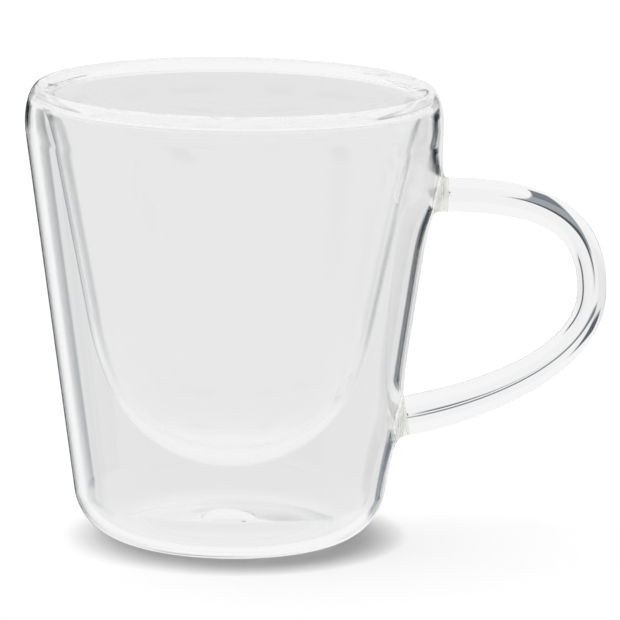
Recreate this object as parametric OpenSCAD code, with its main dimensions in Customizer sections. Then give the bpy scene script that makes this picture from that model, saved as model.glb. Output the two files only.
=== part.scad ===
// Double walled glass cup: a tapered outer wall and a round bottomed bowl, joined
// at the lip over an air gap, with a bent glass rod welded on as a handle.
// The origin is the centre of the base on the table, +Z is up and +X points to the handle.

/* [Body] */
// Widest outside diameter, at the shoulder under the lip
rim_d = 66; // [62:0.5:74]
// Overall height, from the table to the lip
height = 72.3; // [68:0.1:82]
// Lean of the outer wall from upright, in degrees
outer_lean = 8; // [6:0.5:9]
// Glass thickness of the outer wall and of the base
outer_t = 1.7; // [1.3:0.1:2.1]
// Outside radius of the rounded base corner
corner_r = 8.5; // [6.5:0.5:10]

/* [Rim] */
// Width by which the outer wall turns in to the lip's highest ring
shoulder_w = 2.15; // [1.6:0.05:2.8]
// Height over which the outer wall turns in to the lip
shoulder_h = 5.7; // [4.5:0.1:7]
// Height over which the bowl opens out to the lip
flare_h = 4.5; // [3.8:0.1:6]
// Glass above the air gap, at the lip
lip_t = 2.1; // [1.7:0.1:2.6]
// Distance of the air gap's top ring inside the lip's highest ring
crown_in = 0.6; // [0.3:0.1:0.8]
// Distance that the rim's seam lies below its curves
seam_drop = 0.5; // [0.2:0.1:1.5]

/* [Bowl] */
// Glass thickness of the inner wall
inner_t = 0.8; // [0.6:0.1:1.4]
// Lean of the inner wall from upright, in degrees
inner_lean = 11.2; // [10:0.1:12]
// Width of the air gap at the rim's seam
gap_w = 2.45; // [2.2:0.05:3]
// Height of the bowl's underside above the table
bowl_lift = 11.6; // [9:0.1:14]
// Height at which the bowl's side starts to round in
bowl_turn_z = 35; // [32:0.1:40]
// Radius of the bowl's rounded side
bowl_side_r = 50; // [44:0.5:60]
// Glass thickness at the middle of the bowl's bottom
bottom_t = 1.8; // [1:0.1:2.4]

/* [Base] */
// Width of the flat ring that the cup stands on
ring_w = 3.1; // [2:0.1:5]
// Height of the hollow pushed up inside that ring
kick_h = 1.2; // [0.6:0.1:2]
// Diameter of the vent through the base
vent_d = 5; // [3:0.5:7]
// Diameter of the glass drop that closes the vent
seal_d = 9; // [8:0.5:12]
// Height of that drop above the base
seal_h = 1; // [0.6:0.1:2]

/* [Handle] */
// Drop from the lip to the rod's axis at the upper weld
handle_drop = 16.9; // [15:0.1:19]
// Height of the rod's axis at the lower weld
handle_low_z = 19.3; // [18:0.1:22]
// Farthest reach of the handle from the cup's axis
handle_reach = 59.4; // [55:0.1:65]
// Rise of the rod as it leaves the lower weld, in degrees
low_rise = 10; // [5:1:15]
// Rod diameter at the upper weld
rod_top_d = 5.4; // [4.4:0.1:6.2]
// Rod diameter at the outermost bend
rod_bend_d = 4.6; // [4:0.1:6]
// Rod diameter at the lower weld
rod_low_d = 6.3; // [5:0.1:7]

/* [Welds] */
// Length of the upper weld along the rod
weld_top_len = 2.4; // [1.8:0.1:3.2]
// Length of the lower weld along the rod
weld_low_len = 1.6; // [1.2:0.1:2.6]
// Weld fillet on the outer side of the handle's loop
fillet_out = 2.2; // [1.5:0.1:3]
// Weld fillet on the finger side of the loop
fillet_in = 0.7; // [0.5:0.1:1.5]

/* [Hidden] */
$fn = 96;
glass = [0.90, 0.94, 0.94, 0.45];
weld_glass = [0.86, 0.92, 0.88, 0.6];

// Fineness of the curves
arc_steps = 10;
rod_sides = 24;
rod_rings = 18;
fillet_rings = 5;
seat_rings = 3;

// Height of the handle's outermost point, as a share of the rise between its welds
bend_share = 0.576;
// How far each end of the handle's two curves is drawn straight on, as shares of its run or drop
arm_share = 0.6;
upper_bend_share = 0.82;
lower_bend_share = 0.63;
return_share = 0.26;
// How sharply the weld's fillet grows towards the outer side of the loop
fillet_bias = 1.5;

rim_r = rim_d / 2;
crest_r = rim_r - shoulder_w;
vent_r = vent_d / 2;
seal_r = seal_d / 2;

// The outer wall is a cone that meets the elliptical shoulder on a common tangent
outer_slope = tan(outer_lean);
shoulder_z = height - shoulder_h;
shoulder_end = atan(-shoulder_h * outer_slope / shoulder_w);
shoulder_end_z = shoulder_z + shoulder_h * sin(shoulder_end);
outer_t_level = outer_t / cos(outer_lean);
function wall_r(z) = crest_r + norm([shoulder_w, outer_slope * shoulder_h]) + outer_slope * (z - shoulder_z);

// The base corner is an arc from the wall's tangent to the table
corner_c = wall_r(corner_r) - corner_r / cos(outer_lean);
kick_r = corner_c - ring_w;

// The outer side of the air gap's top is an ellipse tangent to the wall's inner face
crown_r = crest_r - crown_in;
gap_out_h = shoulder_h - lip_t;
gap_out_line = wall_r(shoulder_z) - outer_t_level - crown_r;
gap_out_w = sqrt(gap_out_line ^ 2 - (outer_slope * gap_out_h) ^ 2);
gap_out_end = atan(-gap_out_h * outer_slope / gap_out_w);

// The rim's seam lies below both its shoulder and the top of the air gap
seam_z = min(shoulder_end_z, shoulder_z + gap_out_h * sin(gap_out_end)) - seam_drop;

// The bowl is a cone, a wide arc and a round bottom, each tangent to the next
inner_slope = tan(inner_lean);
inner_t_level = inner_t / cos(inner_lean);
bowl_seam_r = wall_r(seam_z) - outer_t_level - gap_w;
function bowl_r(z) = bowl_seam_r + inner_slope * (z - seam_z);
side_c = [bowl_r(bowl_turn_z) - bowl_side_r * cos(inner_lean), bowl_turn_z + bowl_side_r * sin(inner_lean)];
side_rise = side_c.y - bowl_lift;
bottom_r = (bowl_side_r ^ 2 - side_c.x ^ 2 - side_rise ^ 2) / (2 * (bowl_side_r - side_rise));
bottom_c = [0, bowl_lift + bottom_r];
bottom_turn = atan2(bottom_c.y - side_c.y, bottom_c.x - side_c.x);

// The lip's drinking side is an ellipse tangent to the bowl's cone
flare_z = height - flare_h;
flare_line = crest_r - (bowl_r(flare_z) - inner_t_level);
flare_w = sqrt(flare_line ^ 2 - (inner_slope * flare_h) ^ 2);
flare_end = atan(flare_h * inner_slope / flare_w);

// The inner side of the air gap's top is an ellipse tangent to the bowl's outer face
gap_in_h = flare_h - lip_t;
gap_in_line = crown_r - bowl_r(flare_z);
gap_in_w = sqrt(gap_in_line ^ 2 - (inner_slope * gap_in_h) ^ 2);
gap_in_end = atan(gap_in_h * inner_slope / gap_in_w);

// The rod's axis, from the upper weld's face round the bend to the lower weld's face
handle_top_z = height - handle_drop;
bend_x = handle_reach - rod_bend_d / 2;
bend_z = handle_low_z + bend_share * (handle_top_z - handle_low_z);
top_end = [wall_r(handle_top_z) + weld_top_len, handle_top_z];
low_dir = [cos(low_rise), sin(low_rise)];
low_end = [wall_r(handle_low_z), handle_low_z] + weld_low_len * low_dir;
bend = [bend_x, bend_z];
upper_curve = [top_end, top_end + [arm_share * (bend_x - top_end.x), 0],
    bend + [0, upper_bend_share * (handle_top_z - bend_z)], bend];
lower_curve = [bend, bend - [0, lower_bend_share * (bend_z - handle_low_z)],
    low_end + return_share * (bend_x - low_end.x) * low_dir, low_end];

// Points along an arc or an ellipse, from one angle to another
function arc(c, rx, ry, from, to, steps = arc_steps) =
    [for (i = [0:steps]) let (a = from + (to - from) * i / steps) [c.x + rx * cos(a), c.y + ry * sin(a)]];

// Points of one face of the bowl, from the seam down to the axis, at a depth into the glass that
// grows smoothly by an extra amount over the bottom
function bowl_face(depth, extra) = concat(
    [[bowl_seam_r - depth / cos(inner_lean), seam_z]],
    arc(side_c, bowl_side_r - depth, bowl_side_r - depth, -inner_lean, bottom_turn),
    [for (i = [1:arc_steps]) let (s = i / arc_steps, a = bottom_turn + (-90 - bottom_turn) * s,
        r = bottom_r - depth - extra * s * s * (3 - 2 * s)) bottom_c + r * [cos(a), sin(a)]]);

// Underside of the base at a radius: a smooth hollow inside the bearing ring
function kick_z(r) = kick_h * (1 + cos(180 * min(r, kick_r) / kick_r)) / 2;
// Points over the hollow between two radii, at a height above its underside
function kick_face(r_from, r_to, lift) =
    [for (i = [0:arc_steps]) let (r = r_from + (r_to - r_from) * i / arc_steps) [r, kick_z(r) + lift]];

function reversed(list) = [for (i = [len(list) - 1:-1:0]) list[i]];

module outer_wall() {
    // Revolved section: base hollow, bearing ring, corner, cone up to the seam and back inside
    base_under = concat(kick_face(vent_r, seal_r, 0), kick_face(seal_r, kick_r, 0));
    base_over = concat(kick_face(vent_r, seal_r, outer_t), kick_face(seal_r, kick_r, outer_t));
    outside = concat(arc([corner_c, corner_r], corner_r, corner_r, -90, -outer_lean),
        [[wall_r(seam_z), seam_z]]);
    inside = concat([[wall_r(seam_z) - outer_t_level, seam_z]],
        arc([corner_c, corner_r], corner_r - outer_t, corner_r - outer_t, -outer_lean, -90));
    color(glass)
        rotate_extrude()
            polygon(concat(base_under, outside, inside, reversed(base_over)));
}

module inner_wall() {
    color(glass)
        rotate_extrude()
            polygon(concat(bowl_face(0, 0), reversed(bowl_face(inner_t, bottom_t - inner_t))));
}

module rim() {
    // Lip outline over the shoulder, down the drinking side, and round the top of the air gap
    outside = arc([crest_r, shoulder_z], shoulder_w, shoulder_h, shoulder_end, 90);
    drinking = arc([crest_r, flare_z], flare_w, flare_h, 90, 180 - flare_end);
    gap_in = arc([crown_r, flare_z], gap_in_w, gap_in_h, 180 - gap_in_end, 90);
    gap_out = arc([crown_r, shoulder_z], gap_out_w, gap_out_h, 90, gap_out_end);
    color(glass)
        rotate_extrude()
            polygon(concat([[wall_r(seam_z), seam_z]], outside, drinking,
                [[bowl_seam_r - inner_t_level, seam_z], [bowl_seam_r, seam_z]], gap_in,
                [for (i = [1:arc_steps]) gap_out[i]], [[wall_r(seam_z) - outer_t_level, seam_z]]));
}

module vent_seal() {
    // A drop of glass that fills the vent and lies over its edge inside the gap
    drop = [for (i = [0:arc_steps]) let (a = 90 * i / arc_steps)
        [seal_r * cos(a), kick_z(seal_r * cos(a)) + outer_t + seal_h * sin(a)]];
    color(weld_glass)
        rotate_extrude()
            polygon(concat([[0, kick_z(0)]], [[vent_r, kick_z(vent_r)]],
                kick_face(vent_r, seal_r, outer_t), drop));
}

// Point and heading of a cubic curve at a share of its length
function curve_point(c, t) =
    (1 - t) ^ 3 * c[0] + 3 * (1 - t) ^ 2 * t * c[1] + 3 * (1 - t) * t ^ 2 * c[2] + t ^ 3 * c[3];
function curve_heading(c, t) = let (d = (1 - t) ^ 2 * (c[1] - c[0]) + 2 * (1 - t) * t * (c[2] - c[1])
    + t ^ 2 * (c[3] - c[2])) d / norm(d);
function eased(from, to, t) = from + (to - from) * t * t * (3 - 2 * t);

// Ring of points round the rod: turn 0 is +Y and turn 90 is the outer side of the loop
function rod_ring(c, heading, r) = [for (j = [0:rod_sides - 1]) let (a = 360 * j / rod_sides)
    [c.x - heading.y * r * sin(a), r * cos(a), c.y + heading.x * r * sin(a)]];

// Triangles between successive rings, turned outwards along or against the rings' heading
function skin(rings, along) = [for (i = [0:rings - 2], j = [0:rod_sides - 1])
    let (k = (j + 1) % rod_sides, a = i * rod_sides, b = a + rod_sides)
    each along ? [[a + j, b + j, b + k], [a + j, b + k, a + k]] : [[a + j, b + k, b + j], [a + j, a + k, b + k]]];
function cap(first, reverse) = let (f = [for (j = [0:rod_sides - 1]) first + j]) reverse ? reversed(f) : f;

module handle() {
    rings = concat(
        [for (i = [0:rod_rings]) let (t = i / rod_rings)
            rod_ring(curve_point(upper_curve, t), curve_heading(upper_curve, t),
                eased(rod_top_d, rod_bend_d, t) / 2)],
        [for (i = [1:rod_rings]) let (t = i / rod_rings)
            rod_ring(curve_point(lower_curve, t), curve_heading(lower_curve, t),
                eased(rod_bend_d, rod_low_d, t) / 2)]);
    n = len(rings);
    color(glass)
        polyhedron(points = [for (ring = rings) each ring],
            faces = concat([cap(0, false)], skin(n, true), [cap((n - 1) * rod_sides, true)]));
}

// Point of the outer wall's face at a level, a distance to the side of the handle's plane
function on_wall(y, z) = [sqrt(wall_r(z) ^ 2 - y ^ 2), y, z];
// Where a line from a point along the rod's axis reaches the wall
function run_to_wall(p, dir, run = 0, tries = 6) = tries == 0 ? on_wall(p.y, p.z + run * dir.y)
    : run_to_wall(p, dir, (on_wall(p.y, p.z + run * dir.y).x - p.x) / dir.x, tries - 1);

// Fused collar from the rod's end to the wall. dir is the way from the rod's end to the wall,
// heading the rod's own way there, which differ at the upper weld.
module weld(end, dir, heading, rod_d) {
    rod = rod_ring(end, heading, rod_d / 2);
    centre = run_to_wall([end.x, 0, end.y], dir);
    along = heading * dir > 0;
    foot = [for (j = [0:rod_sides - 1]) let (a = 360 * j / rod_sides,
        size = fillet_in + (fillet_out - fillet_in) * ((1 + sin(a)) / 2) ^ fillet_bias,
        q = run_to_wall(rod[j], dir)) on_wall(q.y + size * cos(a), q.z + size * heading.x * sin(a))];
    sides = [for (i = [0:fillet_rings]) let (t = i / fillet_rings) [for (j = [0:rod_sides - 1])
        (1 - t) ^ 2 * rod[j] + 2 * (1 - t) * t * run_to_wall(rod[j], dir) + t ^ 2 * foot[j]]];
    seat = [for (i = [seat_rings - 1:-1:1]) [for (p = foot) let (s = i / seat_rings)
        on_wall(centre.y + s * (p.y - centre.y), centre.z + s * (p.z - centre.z))]];
    rings = concat(sides, seat);
    n = len(rings);
    last = (n - 1) * rod_sides;
    color(weld_glass)
        polyhedron(points = concat([for (ring = rings) each ring], [centre]),
            faces = concat([cap(0, !along)], skin(n, along),
                [for (j = [0:rod_sides - 1]) let (k = (j + 1) % rod_sides, c = n * rod_sides)
                    along ? [last + j, c, last + k] : [last + j, last + k, c]]));
}

module upper_weld() {
    weld(top_end, [-1, 0], curve_heading(upper_curve, 0), rod_top_d);
}

module lower_weld() {
    weld(low_end, -low_dir, curve_heading(lower_curve, 1), rod_low_d);
}

outer_wall();
inner_wall();
rim();
vent_seal();
handle();
upper_weld();
lower_weld();
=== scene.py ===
"""Double walled glass cup: its glass pieces, studio light and camera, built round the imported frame."""

from __future__ import annotations

import logging
import math
from dataclasses import dataclass, field
from enum import Enum
from typing import Any

import bmesh
import bpy
import numpy as np
from mathutils import Matrix, Vector


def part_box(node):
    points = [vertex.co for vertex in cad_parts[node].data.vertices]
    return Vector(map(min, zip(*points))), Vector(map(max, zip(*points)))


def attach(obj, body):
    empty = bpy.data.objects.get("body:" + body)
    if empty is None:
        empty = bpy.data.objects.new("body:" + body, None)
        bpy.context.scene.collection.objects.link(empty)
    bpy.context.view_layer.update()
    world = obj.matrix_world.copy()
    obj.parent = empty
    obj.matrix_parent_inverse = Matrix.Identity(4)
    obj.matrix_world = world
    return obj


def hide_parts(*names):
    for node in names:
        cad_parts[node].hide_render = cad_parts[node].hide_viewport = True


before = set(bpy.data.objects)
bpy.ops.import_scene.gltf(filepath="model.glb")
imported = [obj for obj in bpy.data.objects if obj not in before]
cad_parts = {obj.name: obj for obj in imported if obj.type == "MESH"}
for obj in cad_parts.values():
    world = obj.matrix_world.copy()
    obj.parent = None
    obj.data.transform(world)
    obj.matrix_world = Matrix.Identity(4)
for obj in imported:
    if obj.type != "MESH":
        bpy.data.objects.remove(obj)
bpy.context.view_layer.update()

LOG = logging.getLogger("glass_cup")
MM = 0.001
# Points nearer than this are one point.
SAME_PLACE_MM = 0.001
# Angles of an arc's lowest and highest point, in degrees.
LOWEST, HIGHEST = -90.0, 90.0
BODY = "root"
FUSED_SLOT = 1
LIGHT_BOUNCES = 1024
Points = np.ndarray


def linear(hex_colour: str) -> tuple[float, float, float, float]:
    """Turns an sRGB hex colour into linear light.

    Args:
        hex_colour: Six hex digits after a hash sign.

    Returns:
        Linear red, green and blue, and an alpha of one.
    """
    parts = [int(hex_colour[i:i + 2], 16) / 255 for i in (1, 3, 5)]
    light = [c / 12.92 if c <= 0.04045 else ((c + 0.055) / 1.055) ** 2.4 for c in parts]
    return light[0], light[1], light[2], 1.0


def add_node(tree: bpy.types.NodeTree, kind: str, inputs: dict[Any, Any] | None = None,
             **settings: Any) -> bpy.types.bpy_prop_collection:
    """Adds one node with its settings, input values and links.

    Args:
        tree: Tree that gets the node.
        kind: Blender's name for the node's class.
        inputs: Values, or sockets to link from, by the input's name or number.
        settings: Properties of the node by name.

    Returns:
        The new node's outputs.
    """
    node = tree.nodes.new(kind)
    for name, value in settings.items():
        setattr(node, name, value)
    for key, value in (inputs or {}).items():
        if isinstance(value, bpy.types.NodeSocket):
            tree.links.new(value, node.inputs[key])
        else:
            node.inputs[key].default_value = value
    return node.outputs


def empty_tree(owner: bpy.types.Material | bpy.types.World) -> bpy.types.NodeTree:
    """Turns on the nodes of a material or a world and clears them.

    Args:
        owner: The material or the world.

    Returns:
        Its node tree, empty.
    """
    owner.use_nodes = True
    owner.node_tree.nodes.clear()
    return owner.node_tree


def put_in_scene(name: str, data: bpy.types.ID) -> bpy.types.Object:
    """Makes an object of a mesh or a camera and links it to the scene.

    Args:
        name: Name of the object.
        data: Its mesh or camera.

    Returns:
        The new object, at the origin.
    """
    made = bpy.data.objects.new(name, data)
    bpy.context.scene.collection.objects.link(made)
    return made


def read_all(items: Any, name: str, width: int = 1) -> Points:
    """Reads one property of all the items of a mesh.

    Args:
        items: Vertices, corners, faces or triangles of the mesh.
        name: Name of the property.
        width: Numbers in each value.

    Returns:
        Array with a row for each item, or a flat one if the width is 1.
    """
    values = np.empty(len(items) * width)
    items.foreach_get(name, values)
    return values.reshape(-1, width) if width > 1 else values


def arc(centre: tuple[float, float], radii: tuple[float, float], start: float, end: float,
        steps: int) -> Points:
    """Points along an arc or an ellipse.

    Args:
        centre: Radius and height of the centre, in mm.
        radii: Half widths along radius and height, in mm.
        start: First angle, in degrees.
        end: Last angle, in degrees.
        steps: Number of stretches.

    Returns:
        Array of points, both ends included.
    """
    turn = np.radians(np.linspace(start, end, steps + 1))
    return np.column_stack([centre[0] + radii[0] * np.cos(turn), centre[1] + radii[1] * np.sin(turn)])


def line(start: Any, end: Any, steps: int) -> Points:
    """Evenly spaced points on a straight stretch, both ends included."""
    return np.linspace(start, end, steps + 1)


def ease(share: Points) -> Points:
    """Shares from 0 to 1 that start and end slowly."""
    return share * share * (3 - 2 * share)


class Section:
    """Outline of a turned piece in mm, which knows the stretches where it is fused to a neighbour."""

    def __init__(self) -> None:
        """Starts an empty outline."""
        self.points: list[tuple[float, float]] = []
        self.fused: list[bool] = []

    def stretch(self, points: Points, fused: bool = False) -> Section:
        """Adds a stretch of the outline.

        Args:
            points: Radius and height of each point. The first may repeat the last one there.
            fused: True where the surface is inside fused glass and so isn't seen.

        Returns:
            The section itself, so that stretches chain.
        """
        for point in points:
            if self.points and math.dist(point, self.points[-1]) < SAME_PLACE_MM:
                continue
            if self.points:
                self.fused[-1] = fused
            self.points.append((float(point[0]), float(point[1])))
            self.fused.append(False)
        return self


@dataclass
class Rail:
    """Stations that a skin is lofted through, each a ring about a centre, in mm."""

    centres: Points
    across: Points
    up: Points
    radii: Points
    fused: Points

    @classmethod
    def turned(cls, section: Section) -> Rail:
        """Rail of a turned piece: level rings about the cup's axis.

        Args:
            section: Outline of the piece.

        Returns:
            The rail, with a station for each point of the outline.
        """
        points = np.array(section.points)
        count = len(points)
        centres = np.column_stack([np.zeros((count, 2)), points[:, 1]])
        return cls(centres, np.tile((1.0, 0.0, 0.0), (count, 1)), np.tile((0.0, 1.0, 0.0), (count, 1)),
                   points[:, 0], np.array(section.fused))


class RingLoft:
    """Geometry Nodes tree that lofts a closed skin through the rings of a rail."""

    def __init__(self, joint: bpy.types.Material) -> None:
        """Builds the tree with its named inputs.

        Args:
            joint: Material of the surfaces inside fused glass.
        """
        self.joint = joint
        self.tree = bpy.data.node_groups.new("ring_loft", "GeometryNodeTree")
        sockets = (("Rail", "NodeSocketGeometry"), ("Sides", "NodeSocketInt"),
                   ("Seam Distance", "NodeSocketFloat"), ("Glass", "NodeSocketMaterial"),
                   ("Fused Joint", "NodeSocketMaterial"))
        for name, kind in sockets:
            self.tree.interface.new_socket(name, in_out="INPUT", socket_type=kind)
        self.tree.interface.new_socket("Skin", in_out="OUTPUT", socket_type="NodeSocketGeometry")
        self._build()

    def _attribute(self, rail: bpy.types.NodeSocket, name: str, kind: str,
                   row: bpy.types.NodeSocket) -> bpy.types.NodeSocket:
        """Reads a rail attribute at a station.

        Args:
            rail: The rail's geometry.
            name: Name of the attribute.
            kind: Its data type.
            row: Number of the station.

        Returns:
            Socket that holds the value.
        """
        value = add_node(self.tree, "GeometryNodeInputNamedAttribute", {"Name": name}, data_type=kind)
        return add_node(self.tree, "GeometryNodeSampleIndex",
                        {"Geometry": rail, "Value": value["Attribute"], "Index": row},
                        data_type=kind, domain="POINT")["Value"]

    def _build(self) -> None:
        """Adds the nodes: a grid of stations by sides, placed on the rings and closed."""
        tree = self.tree
        given = add_node(tree, "NodeGroupInput")
        rail, sides = given["Rail"], given["Sides"]
        stations = add_node(tree, "GeometryNodeAttributeDomainSize", {"Geometry": rail}, component="MESH")
        columns = add_node(tree, "FunctionNodeIntegerMath", {0: sides, 1: 1}, operation="ADD")[0]
        grid = add_node(tree, "GeometryNodeMeshGrid",
                        {"Vertices X": stations["Point Count"], "Vertices Y": columns})
        index = add_node(tree, "GeometryNodeInputIndex")[0]
        row = add_node(tree, "FunctionNodeIntegerMath", {0: index, 1: columns},
                       operation="DIVIDE_FLOOR")[0]
        column = add_node(tree, "FunctionNodeIntegerMath", {0: index, 1: columns},
                          operation="MODULO")[0]
        share = add_node(tree, "ShaderNodeMath", {0: column, 1: sides}, operation="DIVIDE")[0]
        turn = add_node(tree, "ShaderNodeMath", {0: share, 1: math.tau}, operation="MULTIPLY")[0]
        place = self._attribute(rail, "centre", "FLOAT_VECTOR", row)
        radius = self._attribute(rail, "radius", "FLOAT", row)
        for name, wave in (("across", "COSINE"), ("up", "SINE")):
            part = add_node(tree, "ShaderNodeMath", {0: turn}, operation=wave)[0]
            reach = add_node(tree, "ShaderNodeMath", {0: part, 1: radius}, operation="MULTIPLY")[0]
            way = self._attribute(rail, name, "FLOAT_VECTOR", row)
            step = add_node(tree, "ShaderNodeVectorMath", {0: way, "Scale": reach}, operation="SCALE")
            place = add_node(tree, "ShaderNodeVectorMath", {0: place, 1: step[0]},
                             operation="ADD")[0]
        placed = add_node(tree, "GeometryNodeSetPosition", {"Geometry": grid["Mesh"], "Position": place})
        face_row = add_node(tree, "FunctionNodeIntegerMath", {0: index, 1: sides},
                            operation="DIVIDE_FLOOR")[0]
        joint = self._attribute(rail, "fused", "BOOLEAN", face_row)
        marked = add_node(tree, "GeometryNodeStoreNamedAttribute",
                          {"Geometry": placed[0], "Name": "fused", "Value": joint},
                          data_type="BOOLEAN", domain="FACE")
        closed = add_node(tree, "GeometryNodeMergeByDistance",
                          {"Geometry": marked[0], "Distance": given["Seam Distance"]})
        smooth = add_node(tree, "GeometryNodeSetShadeSmooth", {"Geometry": closed[0]})
        real = add_node(tree, "GeometryNodeRealizeInstances", {"Geometry": smooth[0]})
        glass = add_node(tree, "GeometryNodeSetMaterial", {"Geometry": real[0], "Material": given["Glass"]})
        fused = add_node(tree, "GeometryNodeInputNamedAttribute", {"Name": "fused"}, data_type="BOOLEAN")
        seams = add_node(tree, "GeometryNodeSetMaterial",
                         {"Geometry": glass[0], "Selection": fused["Attribute"],
                          "Material": given["Fused Joint"]})
        add_node(tree, "NodeGroupOutput", {"Skin": seams[0]})

    def make(self, name: str, rail: Rail, sides: int, glass: bpy.types.Material) -> bpy.types.Object:
        """Lofts a rail into a plain mesh object.

        Args:
            name: Name of the piece.
            rail: Stations in mm.
            sides: Points on each ring.
            glass: Material of the seen surface.

        Returns:
            The new object, at the origin, with no modifier left on it.
        """
        mesh = bpy.data.meshes.new(name)
        mesh.from_pydata((rail.centres * MM).tolist(), [], [])
        for label, kind, key, values in (
                ("centre", "FLOAT_VECTOR", "vector", rail.centres * MM),
                ("across", "FLOAT_VECTOR", "vector", rail.across),
                ("up", "FLOAT_VECTOR", "vector", rail.up),
                ("radius", "FLOAT", "value", rail.radii * MM),
                ("fused", "BOOLEAN", "value", rail.fused)):
            mesh.attributes.new(label, kind, "POINT").data.foreach_set(key, np.ravel(values))
        piece = put_in_scene(name, mesh)
        modifier = piece.modifiers.new("loft", "NODES")
        modifier.node_group = self.tree
        values = {"Sides": sides, "Seam Distance": SAME_PLACE_MM * MM, "Glass": glass,
                  "Fused Joint": self.joint}
        for item in self.tree.interface.items_tree:
            if item.in_out == "INPUT" and item.name in values:
                modifier[item.identifier] = values[item.name]
        evaluated = piece.evaluated_get(bpy.context.evaluated_depsgraph_get())
        skin = bpy.data.meshes.new_from_object(evaluated)
        piece.modifiers.clear()
        piece.data = skin
        bpy.data.meshes.remove(mesh)
        skin.name = name
        slots = [FUSED_SLOT if skin.materials[f.material_index] == self.joint else 0 for f in skin.polygons]
        skin.materials.clear()
        skin.materials.append(glass)
        skin.materials.append(self.joint)
        skin.polygons.foreach_set("material_index", slots)
        if not self._faces_outwards(skin):
            skin.flip_normals()
        return piece

    @staticmethod
    def _faces_outwards(skin: bpy.types.Mesh) -> bool:
        """Tells whether a closed skin encloses a positive volume.

        Args:
            skin: The skin.

        Returns:
            True if its faces point outwards.
        """
        skin.calc_loop_triangles()
        spots = read_all(skin.vertices, "co", 3)
        first, second, third = spots[read_all(skin.loop_triangles, "vertices", 3).astype(int).T]
        return float(np.einsum("ij,ij->i", first, np.cross(second, third)).sum()) > 0


class Finish(Enum):
    """Where on the cup a glass finish is used."""

    WALL = "wall"
    LIP = "lip"
    ROD = "rod"
    WELD = "weld"


@dataclass(frozen=True)
class ClearGlass:
    """Borosilicate glass as its making left it, and the name of the record's slot for it, which the script
    doesn't use.
    """

    name: str
    slot: str
    tint: str
    wave_mm: float
    wave_depth_mm: float
    clear: float = 1.0
    roughness: float = 0.0
    ior: float = 1.47

    def material(self) -> bpy.types.Material:
        """Builds the material.

        Returns:
            The new material, with waves of a real size in its surface.
        """
        made = bpy.data.materials.new(self.name)
        tree = empty_tree(made)
        where = add_node(tree, "ShaderNodeTexCoord")["Object"]
        waves = add_node(tree, "ShaderNodeTexNoise",
                         {"Vector": where, "Scale": 1 / (self.wave_mm * MM), "Detail": 0.0})
        bump = add_node(tree, "ShaderNodeBump",
                        {"Strength": 1.0, "Distance": self.wave_depth_mm * MM, "Height": waves[0]})
        shader = add_node(tree, "ShaderNodeBsdfPrincipled",
                          {"Base Color": linear(self.tint), "Roughness": self.roughness, "IOR": self.ior,
                           "Transmission Weight": self.clear, "Normal": bump[0]})
        add_node(tree, "ShaderNodeOutputMaterial", {"Surface": shader[0]})
        return made


GLASS = {
    # Blown into shape and left bright: clear and colourless, with long faint waves that bend the edge lines.
    Finish.WALL: ClearGlass("blown_borosilicate", "wall_glass", "#FDFDFD",
                            wave_mm=18.0, wave_depth_mm=0.005),
    # Melted round in the flame: as clear as the walls, a hair less sharp.
    Finish.LIP: ClearGlass("fire_polished_borosilicate", "wall_glass", "#FDFDFD",
                           wave_mm=18.0, wave_depth_mm=0.005, roughness=0.005),
    # Drawn as a rod and bent hot: clear, with shorter waves that break the dark lines along it.
    Finish.ROD: ClearGlass("drawn_borosilicate_rod", "handle_glass", "#FCFCFC",
                           wave_mm=9.0, wave_depth_mm=0.004),
    # Stirred soft in the flame: full of small dents and seeds, so it shows as a pale, faintly green cloud.
    Finish.WELD: ClearGlass("flame_welded_borosilicate", "weld_glass", "#FBFDF6",
                            wave_mm=1.2, wave_depth_mm=0.06, clear=0.85, roughness=0.25),
}


def fused_joint() -> bpy.types.Material:
    """Builds the material of the surfaces inside fused glass, which light passes without bending.

    Returns:
        The new material, which shows nothing.
    """
    made = bpy.data.materials.new("fused_joint")
    tree = empty_tree(made)
    clear = add_node(tree, "ShaderNodeBsdfTransparent")
    add_node(tree, "ShaderNodeOutputMaterial", {"Surface": clear[0]})
    return made


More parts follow.
